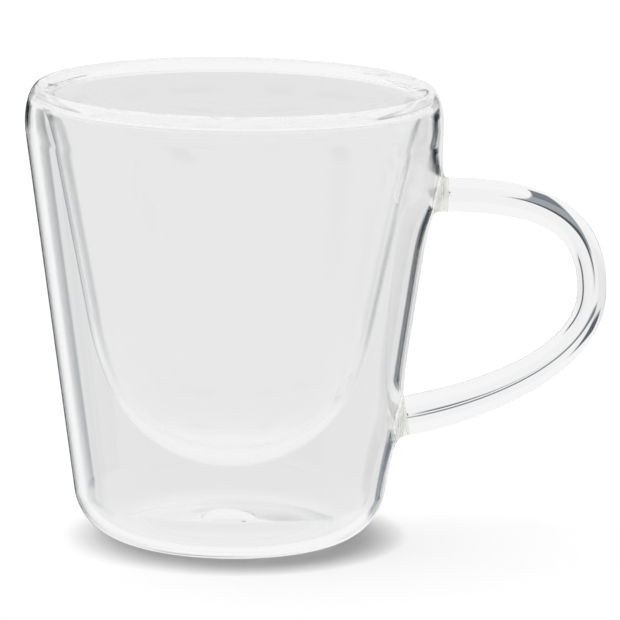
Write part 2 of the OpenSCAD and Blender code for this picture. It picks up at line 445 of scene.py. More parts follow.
@dataclass
class CupShape:
    """Sizes that the pieces share, in mm, from the frame where it has them."""

    sides: int = 384
    outer_lean: float = 8.0
    outer_t: float = 1.7
    corner_r: float = 8.5
    shoulder_w: float = 2.15
    shoulder_h: float = 5.7
    inner_t: float = 0.8
    inner_lean: float = 11.2
    gap_w: float = 2.45
    ring_w: float = 3.1
    kick_h: float = 1.2
    vent_r: float = 2.5
    seal_r: float = 4.5
    kick_rows: int = 24
    seal_rows: int = 6
    rim_r: float = field(init=False)
    height: float = field(init=False)
    seam_z: float = field(init=False)

    def __post_init__(self) -> None:
        """Takes the rim's width, the height and the seam from the frame."""
        low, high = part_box("rim")
        self.rim_r = high.y / MM
        self.height = high.z / MM
        self.seam_z = low.z / MM

    @property
    def crest_r(self) -> float:
        """Radius of the lip's highest ring."""
        return self.rim_r - self.shoulder_w

    @property
    def outer_slope(self) -> float:
        """Growth of the outer wall's radius with height."""
        return math.tan(math.radians(self.outer_lean))

    @property
    def inner_slope(self) -> float:
        """Growth of the bowl's radius with height."""
        return math.tan(math.radians(self.inner_lean))

    @property
    def outer_t_level(self) -> float:
        """Thickness of the outer wall, measured level."""
        return self.outer_t / math.cos(math.radians(self.outer_lean))

    @property
    def inner_t_level(self) -> float:
        """Thickness of the inner wall, measured level."""
        return self.inner_t / math.cos(math.radians(self.inner_lean))

    @property
    def corner_c(self) -> float:
        """Radius at which the base corner's arc is centred."""
        return self.wall_r(self.corner_r) - self.corner_r / math.cos(math.radians(self.outer_lean))

    @property
    def kick_r(self) -> float:
        """Radius of the hollow pushed up under the base."""
        return self.corner_c - self.ring_w

    @property
    def wall_seam(self) -> Points:
        """Outer and inner edge of the outer wall's top, as radius and height."""
        outside = self.wall_r(self.seam_z)
        return np.array([(outside, self.seam_z), (outside - self.outer_t_level, self.seam_z)])

    @property
    def bowl_seam(self) -> Points:
        """Outer and inner edge of the bowl's top, as radius and height."""
        outside = self.bowl_r(self.seam_z)
        return np.array([(outside, self.seam_z), (outside - self.inner_t_level, self.seam_z)])

    def wall_r(self, z: Any) -> Any:
        """Radius of the outer wall's face at a height, on its cone."""
        reach = math.hypot(self.shoulder_w, self.outer_slope * self.shoulder_h)
        return self.crest_r + reach + self.outer_slope * (z - (self.height - self.shoulder_h))

    def bowl_r(self, z: Any) -> Any:
        """Radius of the bowl's outer face at a height, on its cone."""
        return self.wall_seam[1, 0] - self.gap_w + self.inner_slope * (z - self.seam_z)

    def kick_z(self, radius: Any) -> Any:
        """Height of the base's underside at a radius, over the hollow and its ring."""
        return self.kick_h * (1 + np.cos(np.pi * np.minimum(radius, self.kick_r) / self.kick_r)) / 2

    def kick_face(self, start: float, end: float, lift: float, steps: int) -> Points:
        """Points over the hollow of the base.

        Args:
            start: First radius.
            end: Last radius.
            lift: Height above the hollow's underside.
            steps: Number of stretches.

        Returns:
            Array of points.
        """
        radii = np.linspace(start, end, steps + 1)
        return np.column_stack([radii, self.kick_z(radii) + lift])


@dataclass
class WeldPull:
    """The swell that the hot rod's pull leaves in the outer wall round one weld, in mm."""

    z: float
    amount: float
    width: float
    tall: float

    def at(self, y: Any, z: Any) -> Any:
        """Outward move of the wall at a place beside the handle's plane."""
        return self.amount * np.exp(-(y / self.width) ** 2 / 2 - ((z - self.z) / self.tall) ** 2 / 2)


@dataclass
class Handle:
    """The bent glass rod, from its upper weld round the outer bend to its lower weld, in mm."""

    shape: CupShape
    # Stations at the rod's two ends, inside its caps.
    FIRST_RING = 1
    LAST_RING = -2
    sides: int = 80
    stations: int = 64
    drop: float = 16.9
    low_z: float = 19.3
    bend_share: float = 0.576
    low_rise: float = 10.0
    top_d: float = 5.4
    bend_d: float = 4.6
    low_d: float = 6.3
    top_weld_len: float = 2.4
    low_weld_len: float = 1.6
    arm_share: float = 0.6
    upper_bend_share: float = 0.82
    lower_bend_share: float = 0.63
    return_share: float = 0.26

    def __post_init__(self) -> None:
        """Works out the two curves of the rod's axis, as radius and height."""
        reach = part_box("handle")[1].x / MM
        self.top_z = self.shape.height - self.drop
        bend = np.array([reach - self.bend_d / 2, self.low_z + self.bend_share * (self.top_z - self.low_z)])
        top = np.array([self.shape.wall_r(self.top_z) + self.top_weld_len, self.top_z])
        rise = math.radians(self.low_rise)
        self.low_way = np.array([math.cos(rise), math.sin(rise)])
        low = np.array([self.shape.wall_r(self.low_z), self.low_z]) + self.low_weld_len * self.low_way
        self.upper = (top, top + (self.arm_share * (bend[0] - top[0]), 0.0),
                      bend + (0.0, self.upper_bend_share * (top[1] - bend[1])), bend)
        self.lower = (bend, bend - (0.0, self.lower_bend_share * (bend[1] - low[1])),
                      low + self.return_share * (bend[0] - low[0]) * self.low_way, low)

    @staticmethod
    def _curve(knots: tuple[Points, ...], share: Points) -> tuple[Points, Points]:
        """Points and headings of a cubic curve.

        Args:
            knots: Its four control points.
            share: Places along it, from 0 to 1.

        Returns:
            Arrays of points and of unit headings.
        """
        t = share[:, None]
        a, b, c, d = knots
        points = (1 - t) ** 3 * a + 3 * (1 - t) ** 2 * t * b + 3 * (1 - t) * t ** 2 * c + t ** 3 * d
        ways = (1 - t) ** 2 * (b - a) + 2 * (1 - t) * t * (c - b) + t ** 2 * (d - c)
        return points, ways / np.linalg.norm(ways, axis=1)[:, None]

    def rail(self) -> Rail:
        """Lays the stations along the rod, with a fused cap at each end.

        Returns:
            The rod's rail.
        """
        share = np.linspace(0.0, 1.0, self.stations + 1)
        first, first_way = self._curve(self.upper, share)
        second, second_way = self._curve(self.lower, share[1:])
        points = np.vstack([first, second])
        ways = np.vstack([first_way, second_way])
        radii = np.concatenate([self.top_d + (self.bend_d - self.top_d) * ease(share),
                                self.bend_d + (self.low_d - self.bend_d) * ease(share[1:])]) / 2
        order = np.concatenate([[0], np.arange(len(points)), [len(points) - 1]])
        radii = radii[order]
        radii[[0, -1]] = 0.0
        points, ways = points[order], ways[order]
        flat = np.zeros(len(order))
        fused = np.zeros(len(order), bool)
        fused[[0, self.LAST_RING]] = True
        return Rail(np.column_stack([points[:, 0], flat, points[:, 1]]),
                    np.tile((0.0, 1.0, 0.0), (len(order), 1)),
                    np.column_stack([-ways[:, 1], flat, ways[:, 0]]), radii, fused)

    def ring(self, station: int) -> Points:
        """Points round the rod at one station of its rail.

        Args:
            station: Number of the station.

        Returns:
            Array of points, from +Y on.
        """
        rail = self.rail()
        turn = np.linspace(0.0, math.tau, self.sides, endpoint=False)[:, None]
        spokes = np.cos(turn) * rail.across[station] + np.sin(turn) * rail.up[station]
        return rail.centres[station] + rail.radii[station] * spokes

    def build(self, loft: RingLoft, glass: bpy.types.Material) -> bpy.types.Object:
        """Lofts the rod through its stations."""
        return loft.make("handle_glass", self.rail(), self.sides, glass)


@dataclass
class Weld:
    """Fused collar between one end of the rod and the outer wall, in mm."""

    name: str
    wall: OuterWall
    rod_ring: Points
    way: Points
    outer_side: float
    fillet_out: float = 2.2
    fillet_in: float = 0.7
    fillet_bias: float = 1.5
    rings: int = 12
    seat_rings: int = 4
    aim_steps: int = 13

    def foot(self) -> tuple[Points, Points]:
        """Finds where the collar meets the wall.

        Returns:
            The rod's ring run straight on to the wall, and the fillet's edge on the wall.
        """
        x, y, z = self.rod_ring.T
        run = np.zeros(len(x))
        for _ in range(self.aim_steps):
            hit = self.wall.face(y, z + run * self.way[1])
            run = (hit[:, 0] - x) / self.way[0]
        turn = np.linspace(0.0, math.tau, len(x), endpoint=False)
        bias = ((1 + np.sin(turn)) / 2) ** self.fillet_bias
        size = self.fillet_in + (self.fillet_out - self.fillet_in) * bias
        edge = self.wall.face(hit[:, 1] + size * np.cos(turn),
                              hit[:, 2] + size * self.outer_side * np.sin(turn))
        return hit, edge

    def seat(self) -> list[Points]:
        """Lays out the fused seat on the wall.

        Returns:
            Rings from the fillet's edge inwards, that edge left out, and the centre as a ring of one point.
        """
        edge = self.foot()[1][:, 1:]
        centre = edge.mean(axis=0)
        rings = []
        for step in range(1, self.seat_rings):
            spot = centre + (edge - centre) * (1 - step / self.seat_rings)
            rings.append(self.wall.face(spot[:, 0], spot[:, 1]))
        return rings + [self.wall.face(centre[:1], centre[1:])]

    def build(self, loft: RingLoft, glass: bpy.types.Material) -> bpy.types.Object:
        """Bridges the collar from the rod to the wall.

        Args:
            loft: The loft, which holds the fused joint's material.
            glass: Material of the seen surface.

        Returns:
            The new object.
        """
        hit, edge = self.foot()
        skin = bmesh.new()
        rows = []
        for t in np.linspace(0.0, 1.0, self.rings + 1):
            rows.append(add_row(skin, (1 - t) ** 2 * self.rod_ring + 2 * (1 - t) * t * hit + t ** 2 * edge))
        bridge_rows(skin, rows, 0)
        bridge_rows(skin, [rows[-1]] + [add_row(skin, loop) for loop in self.seat()], FUSED_SLOT)
        cap = add_row(skin, self.rod_ring.mean(axis=0, keepdims=True))
        bridge_rows(skin, [cap, rows[0]], FUSED_SLOT)
        bmesh.ops.recalc_face_normals(skin, faces=skin.faces)
        if skin.calc_volume(signed=True) < 0:
            bmesh.ops.reverse_faces(skin, faces=skin.faces)
        mesh = bpy.data.meshes.new(self.name)
        skin.to_mesh(mesh)
        skin.free()
        mesh.materials.append(glass)
        mesh.materials.append(loft.joint)
        return put_in_scene(self.name, mesh)


def add_row(skin: bmesh.types.BMesh, points: Points) -> list[bmesh.types.BMVert]:
    """Adds a row of points, in mm, to a mesh."""
    return [skin.verts.new(point * MM) for point in points]


def bridge_rows(skin: bmesh.types.BMesh, rows: list[list[bmesh.types.BMVert]], slot: int) -> None:
    """Fills closed rows of points with faces. A row of one point is a fan's centre.

    Args:
        skin: Mesh that gets the faces.
        rows: Rows of vertices, all of one length but for fan centres.
        slot: Material slot of the faces.
    """
    for first, second in zip(rows, rows[1:]):
        count = max(len(first), len(second))
        for i in range(count):
            k = (i + 1) % count
            corners = []
            for row, order in ((first, (i, k)), (second, (k, i))):
                corners += [row[0]] if len(row) == 1 else [row[j] for j in order]
            face = skin.faces.new(corners)
            face.material_index = slot
            face.smooth = True


@dataclass
class TurnedPiece:
    """A piece of glass turned about the cup's axis, in mm."""

    shape: CupShape
    NAME = ""
    SIDES_RATIO = 1

    def section(self) -> Section:
        """Outline of the piece, which each piece draws for itself."""
        raise NotImplementedError

    def build(self, loft: RingLoft, glass: bpy.types.Material) -> bpy.types.Object:
        """Turns the piece and reworks it.

        Args:
            loft: The loft that turns it.
            glass: Material of the seen surface.

        Returns:
            The new object.
        """
        sides = self.shape.sides * self.SIDES_RATIO
        piece = loft.make(self.NAME, Rail.turned(self.section()), sides, glass)
        skin = bmesh.new()
        skin.from_mesh(piece.data)
        self.rework(skin)
        skin.to_mesh(piece.data)
        skin.free()
        return piece

    def rework(self, skin: bmesh.types.BMesh) -> None:
        """Changes the turned mesh of a piece that isn't round everywhere, and leaves others alone."""


@dataclass
class OuterWall(TurnedPiece):
    """Tapered outer glass with its base, its vent and the swells round the two welds."""

    NAME = "outer_wall_glass"
    pulls: list[WeldPull]
    welds: list[Weld] = field(default_factory=list)
    rows: int = 48
    corner_rows: int = 36
    inside_rows: int = 30
    ring_rows: int = 4
    patch_rows: int = 12
    patch_columns: int = 28
    patch_rings: int = 9

    @property
    def turn_z(self) -> float:
        """Height at which the base corner becomes the cone."""
        return self.shape.corner_r * (1 - math.sin(math.radians(self.shape.outer_lean)))

    @property
    def pitch_z(self) -> float:
        """Height of one row of the cone's mesh."""
        return (self.shape.seam_z - self.turn_z) / self.rows

    def pull(self, y: Any, z: Any) -> Any:
        """Outward move of the wall beside the handle's plane."""
        return sum(p.at(y, z) for p in self.pulls)

    def face(self, y: Points, z: Points) -> Points:
        """Points of the wall's outer face on the handle's side, pull included.

        Args:
            y: Distances from the handle's plane.
            z: Heights.

        Returns:
            Array of points.
        """
        radius = self.shape.wall_r(z)
        side = np.arcsin(np.clip(y / radius, -1, 1))
        reach = radius + self.pull(side * radius, z)
        return np.column_stack([reach * np.cos(side), reach * np.sin(side), z])

    def cone(self, angle: Points, z: Points) -> Points:
        """Points of the wall's outer face before its pull, by angle about the axis and height."""
        radius = self.shape.wall_r(z)
        return np.column_stack([radius * np.cos(angle), radius * np.sin(angle), z])

    def section(self) -> Section:
        """Draws the outline from the vent's lower edge round the outside to the seam and back inside.

        Returns:
            The closed outline.
        """
        s = self.shape
        corner = (s.corner_c, s.corner_r)
        outside = arc(corner, (s.corner_r,) * 2, LOWEST, -s.outer_lean, self.corner_rows)
        inside = arc(corner, (s.corner_r - s.outer_t,) * 2, -s.outer_lean, LOWEST, self.inside_rows)
        made = Section().stretch(s.kick_face(s.vent_r, s.seal_r, 0.0, s.seal_rows))
        made.stretch(s.kick_face(s.seal_r, s.kick_r, 0.0, s.kick_rows))
        made.stretch(line((s.kick_r, 0.0), (s.corner_c, 0.0), self.ring_rows)).stretch(outside)
        made.stretch(line(outside[-1], s.wall_seam[0], self.rows)).stretch(s.wall_seam, fused=True)
        made.stretch(line(s.wall_seam[1], inside[0], self.rows)).stretch(inside)
        made.stretch(line((s.corner_c, s.outer_t), (s.kick_r, s.outer_t), self.ring_rows))
        made.stretch(s.kick_face(s.kick_r, s.seal_r, s.outer_t, s.kick_rows))
        made.stretch(s.kick_face(s.seal_r, s.vent_r, s.outer_t, s.seal_rows), fused=True)
        return made.stretch(np.array([made.points[-1], made.points[0]]), fused=True)

    def _cell(self, vert: bmesh.types.BMVert) -> tuple[int, int] | None:
        """Finds a point's cell in the outer face, counted from the handle's plane and the cone's foot.

        Args:
            vert: Point of the wall's mesh, before its pull.

        Returns:
            Column and row, or None for a point of another face or of the side away from the handle.
        """
        s = self.shape
        x, y, z = (c / MM for c in vert.co)
        if x < 0 or abs(math.hypot(x, y) - s.wall_r(z)) > s.outer_t / 4:
            return None
        return round(math.atan2(y, x) / (math.tau / s.sides)), round((z - self.turn_z) / self.pitch_z)

    def cut_seat(self, skin: bmesh.types.BMesh, weld: Weld) -> None:
        """Remeshes the wall round a weld, so that its face ends on the fillet's edge.

        Args:
            skin: The wall's mesh, before its pull.
            weld: The weld that sits there.
        """
        edge = weld.foot()[1]
        middle = round((edge[:, 2].mean() - self.turn_z) / self.pitch_z)
        first_row = middle - self.patch_rows // 2
        half = self.patch_columns // 2
        spots = {}
        for vert in skin.verts:
            cell = self._cell(vert)
            if cell and abs(cell[0]) <= half and 0 <= cell[1] - first_row <= self.patch_rows:
                spots[cell[0], cell[1] - first_row] = vert
        held = set(spots.values())
        gone = [f for f in skin.faces if all(v in held for v in f.verts)]
        bmesh.ops.delete(skin, geom=gone, context="FACES_ONLY")
        border = self._border(half, weld.outer_side)
        inside = [vert for cell, vert in spots.items() if cell not in border]
        bmesh.ops.delete(skin, geom=inside, context="VERTS")
        rows = [[spots[cell] for cell in border]]
        start = np.array([np.array(vert.co) / MM for vert in rows[0]])
        start_y, edge_y = (np.arctan2(p[:, 1], p[:, 0]) * self.shape.wall_r(p[:, 2]) for p in (start, edge))
        for step in range(1, self.patch_rings + 1):
            t = step / self.patch_rings
            z = start[:, 2] + (edge[:, 2] - start[:, 2]) * t
            arc_y = start_y + (edge_y - start_y) * t
            rows.append(add_row(skin, self.cone(arc_y / self.shape.wall_r(z), z)))
        bridge_rows(skin, rows, 0)
        seat = [self.cone(np.arctan2(loop[:, 1], loop[:, 0]), loop[:, 2]) for loop in weld.seat()]
        bridge_rows(skin, [rows[-1]] + [add_row(skin, loop) for loop in seat], FUSED_SLOT)

    def _border(self, half: int, outer_side: float) -> list[tuple[int, int]]:
        """Cells round the edge of a weld's patch, in step with the rod's ring.

        Args:
            half: Columns on each side of the handle's plane.
            outer_side: 1 where the ring turns upwards from +Y, -1 where it turns downwards.

        Returns:
            Columns and rows, from the middle of the +Y side on.
        """
        tall = self.patch_rows
        mid = tall // 2
        loop = [(half, r) for r in range(mid, tall)] + [(c, tall) for c in range(half, -half, -1)]
        loop += [(-half, r) for r in range(tall, 0, -1)] + [(c, 0) for c in range(-half, half)]
        loop += [(half, r) for r in range(0, mid)]
        return loop if outer_side > 0 else [(c, tall - r) for c, r in loop]

    def rework(self, skin: bmesh.types.BMesh) -> None:
        """Seats the welds on the wall and pulls it out round them.

        Args:
            skin: The turned wall.
        """
        for weld in self.welds:
            self.cut_seat(skin, weld)
        self.pull_out(skin)
        bmesh.ops.recalc_face_normals(skin, faces=skin.faces)

    def pull_out(self, skin: bmesh.types.BMesh) -> None:
        """Moves the points outside the air gap's middle outwards round the welds.

        Args:
            skin: Mesh of the wall, or of the rim that goes on from it.
        """
        s = self.shape
        for vert in skin.verts:
            x, y, z = (c / MM for c in vert.co)
            radius = math.hypot(x, y)
            if x > 0 and radius > s.wall_r(z) - s.outer_t_level - s.gap_w / 2:
                reach = radius + self.pull(math.atan2(y, x) * s.wall_r(z), z)
                vert.co.x *= reach / radius
                vert.co.y *= reach / radius


@dataclass
class Bowl(TurnedPiece):
    """Inner wall: a cone that rounds into a deep bottom, in mm."""

    NAME = "inner_wall_glass"
    turn_z: float = 35.0
    side_r: float = 50.0
    bottom_t: float = 1.8
    bottom_rows: int = 44
    side_rows: int = 16
    cone_rows: int = 24

    def face(self, depth: float, extra: float) -> Points:
        """Points of one face from the axis up to the seam.

        Args:
            depth: Depth into the glass.
            extra: Further depth at the middle of the bottom.

        Returns:
            Array of points.
        """
        s = self.shape
        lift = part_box("inner_wall")[0].z / MM
        lean = math.radians(s.inner_lean)
        side_c = (s.bowl_r(self.turn_z) - self.side_r * math.cos(lean),
                  self.turn_z + self.side_r * math.sin(lean))
        rise = side_c[1] - lift
        bottom_r = (self.side_r ** 2 - side_c[0] ** 2 - rise ** 2) / (2 * (self.side_r - rise))
        bottom_c = (0.0, lift + bottom_r)
        joint = math.degrees(math.atan2(bottom_c[1] - side_c[1], -side_c[0]))
        reach = bottom_r - depth - extra * ease(np.linspace(1.0, 0.0, self.bottom_rows + 1))
        bottom = bottom_c + reach[:, None] * arc((0.0, 0.0), (1.0, 1.0), LOWEST, joint, self.bottom_rows)
        bottom[0, 0] = 0.0
        side = arc(side_c, (self.side_r - depth,) * 2, joint, -s.inner_lean, self.side_rows)
        top = (s.bowl_r(s.seam_z) - depth / math.cos(lean), s.seam_z)
        return np.vstack([bottom, side[1:], line(side[-1], top, self.cone_rows)[1:]])

    def section(self) -> Section:
        """Draws the outline up the outer face, over the fused top and down the drinking side.

        Returns:
            The outline, which starts and ends on the axis.
        """
        inner_t = self.shape.inner_t
        outside, inside = self.face(0.0, 0.0), self.face(inner_t, self.bottom_t - inner_t)[::-1]
        made = Section().stretch(outside).stretch(np.array([outside[-1], inside[0]]), fused=True)
        return made.stretch(inside)


@dataclass
class Rim(TurnedPiece):
    """Fused lip that joins the two walls over the air gap, in mm."""

    NAME = "rim_glass"
    SIDES_RATIO = 2
    wall: OuterWall
    flare_h: float = 4.5
    lip_t: float = 2.1
    crown_in: float = 0.6
    shoulder_rows: int = 34
    flare_rows: int = 30
    arch_in_rows: int = 21
    arch_out_rows: int = 25
    leg_rows: int = 3

    @staticmethod
    def _crest(crest_r: float, cone_r: float, z: float, tall: float, slope: float, steps: int) -> Points:
        """Points along an ellipse, from its crest down to where it runs on into a cone.

        Args:
            crest_r: Radius of the crest.
            cone_r: Radius of the cone at the height of the ellipse's centre.
            z: That height.
            tall: Height of the crest above it.
            slope: Growth of the cone's radius with height.
            steps: Number of stretches.

        Returns:
            Array of points, from the crest on.
        """
        reach = cone_r - crest_r
        width = math.copysign(math.sqrt(reach ** 2 - (slope * tall) ** 2), reach)
        end = math.degrees(math.atan(-slope * tall / width))
        return arc((crest_r, z), (width, tall), HIGHEST, end, steps)

    def section(self) -> Section:
        """Draws the outline over the shoulder and the lip, down the drinking side and round the gap's top.

        Returns:
            The closed outline.
        """
        s = self.shape
        shoulder_z, flare_z = s.height - s.shoulder_h, s.height - self.flare_h
        wall_r, bowl_r, crown_r = s.wall_r(shoulder_z), s.bowl_r(flare_z), s.crest_r - self.crown_in
        outside = self._crest(s.crest_r, wall_r, shoulder_z, s.shoulder_h, s.outer_slope, self.shoulder_rows)
        drinking = self._crest(s.crest_r, bowl_r - s.inner_t_level, flare_z, self.flare_h, s.inner_slope,
                               self.flare_rows)
        arch_in = self._crest(crown_r, bowl_r, flare_z, self.flare_h - self.lip_t, s.inner_slope,
                              self.arch_in_rows)
        arch_out = self._crest(crown_r, wall_r - s.outer_t_level, shoulder_z, s.shoulder_h - self.lip_t,
                               s.outer_slope, self.arch_out_rows)
        made = Section().stretch(line(s.wall_seam[0], outside[-1], self.leg_rows)).stretch(outside[::-1])
        made.stretch(drinking).stretch(line(drinking[-1], s.bowl_seam[1], self.leg_rows))
        made.stretch(s.bowl_seam[::-1], fused=True).stretch(line(s.bowl_seam[0], arch_in[-1], self.leg_rows))
        made.stretch(arch_in[::-1]).stretch(arch_out)
        made.stretch(line(arch_out[-1], s.wall_seam[1], self.leg_rows))
        return made.stretch(s.wall_seam[::-1], fused=True)

    def rework(self, skin: bmesh.types.BMesh) -> None:
        """Pulls the rim's outer leg out with the wall."""
        self.wall.pull_out(skin)


@dataclass
class VentSeal(TurnedPiece):
    """Drop of glass that closes the vent and lies over its edge inside the gap, in mm."""

    NAME = "vent_seal_glass"
    rise: float = 1.0
    under_rows: int = 10
    drop_rows: int = 30

    def section(self) -> Section:
        """Draws the outline under the vent, up its wall, over its edge and back over the drop.

        Returns:
            The outline, which starts and ends on the axis.
        """
        s = self.shape
        under = s.kick_face(0.0, s.vent_r, 0.0, self.under_rows)
        ledge = s.kick_face(s.vent_r, s.seal_r, s.outer_t, s.seal_rows)
        turn = np.radians(np.linspace(0.0, HIGHEST, self.drop_rows + 1))
        radii = s.seal_r * np.cos(turn)
        radii[-1] = 0.0
        drop = np.column_stack([radii, s.kick_z(radii) + s.outer_t + self.rise * np.sin(turn)])
        made = Section().stretch(under).stretch(np.array([under[-1], ledge[0]]), fused=True)
        return made.stretch(ledge, fused=True).stretch(drop)


def share_normals(pieces: list[bpy.types.Object]) -> None:
    """Gives pieces that are fused together one smooth normal along their common edges.

    Args:
        pieces: All the glass pieces.
    """
    grain = SAME_PLACE_MM * MM
    meshes = [piece.data for piece in pieces]
    corners, ways, seen = [], [], []
    for mesh in meshes:
        sizes = read_all(mesh.polygons, "loop_total").astype(int)
        normals = read_all(mesh.polygons, "normal", 3)
        seen.append(np.repeat(read_all(mesh.polygons, "material_index") != FUSED_SLOT, sizes))
        ways.append(np.repeat(normals * read_all(mesh.polygons, "area")[:, None], sizes, axis=0))
        spots = np.round(read_all(mesh.vertices, "co", 3) / grain).astype(int)
        corners.append(spots[read_all(mesh.loops, "vertex_index").astype(int)])
    cells, which = np.unique(np.vstack(corners), axis=0, return_inverse=True)
    shown, pushes = np.concatenate(seen), np.vstack(ways)
    total = np.zeros((len(cells), 3))
    np.add.at(total, which.ravel()[shown], pushes[shown])
    made = np.where(shown[:, None], total[which.ravel()], pushes)
    made /= np.linalg.norm(made, axis=1)[:, None]
    ends = np.cumsum([len(part) for part in seen])[:-1]
    for mesh, normals in zip(meshes, np.split(made, ends)):
        mesh.normals_split_custom_set(normals.tolist())


class Route(Enum):
    """Which light sees a panel of the tent, told by how it came through the glass."""

    CUP = "all light but the rod's"
    WALL = "light through the outer wall alone"
    BASE = "light through the outer wall alone that leaves below the lip"
    BOTH = "light through both walls"
    EDGE = "light turned back at an outer edge"
    ROD = "light straight through the rod"


@dataclass(frozen=True)
class TentPanel:
    """Panel of the light tent, in degrees from straight behind the cup and from the horizon.

    A panel that is all round comes again at each quarter turn.
    """

    left: float
    right: float
    low: float
    high: float
    colour: str
    route: Route
    soft_left: float = 1.5
    soft_right: float = 1.5
    soft_end: float = 2.0
    slant: float = 0.0
    all_round: bool = True


class PanelLayer:
    """Node group that lays one panel over the colours of the tent."""

    def __init__(self) -> None:
        """Builds the group with its named inputs."""
        self.tree = bpy.data.node_groups.new("panel_layer", "ShaderNodeTree")
        for name in ("Tent", "Colour"):
            self.tree.interface.new_socket(name, in_out="INPUT", socket_type="NodeSocketColor")
        for name in ("Azimuth", "Rise", "Seen", "Slant", "Left", "Right", "Low", "High",
                     "Soft Left", "Soft Right", "Soft Low", "Soft High"):
            self.tree.interface.new_socket(name, in_out="INPUT", socket_type="NodeSocketFloat")
        self.tree.interface.new_socket("Tent", in_out="OUTPUT", socket_type="NodeSocketColor")
        self._build()

    def _build(self) -> None:
        """Adds the nodes: soft sides, soft ends, and the panel's colour between them."""
        tree = self.tree
        given = add_node(tree, "NodeGroupInput")
        above = add_node(tree, "ShaderNodeMath", {0: given["Rise"], 1: given["High"]}, operation="SUBTRACT")
        lean = add_node(tree, "ShaderNodeMath", {0: above[0], 1: given["Slant"]}, operation="MULTIPLY")
        aim = add_node(tree, "ShaderNodeMath", {0: given["Azimuth"], 1: lean[0]}, operation="SUBTRACT")
        edges = {}
        for name, angle in (("Left", aim[0]), ("Right", aim[0]),
                            ("Low", given["Rise"]), ("High", given["Rise"])):
            start, end = (add_node(tree, "ShaderNodeMath", {0: given[name], 1: given["Soft " + name]},
                                   operation=way)[0] for way in ("SUBTRACT", "ADD"))
            edges[name] = add_node(tree, "ShaderNodeMapRange",
                                   {"Value": angle, "From Min": start, "From Max": end},
                                   interpolation_type="SMOOTHSTEP")[0]
        cover = given["Seen"]
        for first, last in (("Left", "Right"), ("Low", "High")):
            span = add_node(tree, "ShaderNodeMath", {0: edges[first], 1: edges[last]}, operation="SUBTRACT")
            cover = add_node(tree, "ShaderNodeMath", {0: cover, 1: span[0]},
                             operation="MULTIPLY")[0]
        laid = add_node(tree, "ShaderNodeMix", {0: cover, 6: given["Tent"], 7: given["Colour"]},
                        data_type="RGBA")
        add_node(tree, "NodeGroupOutput", {"Tent": laid[2]})


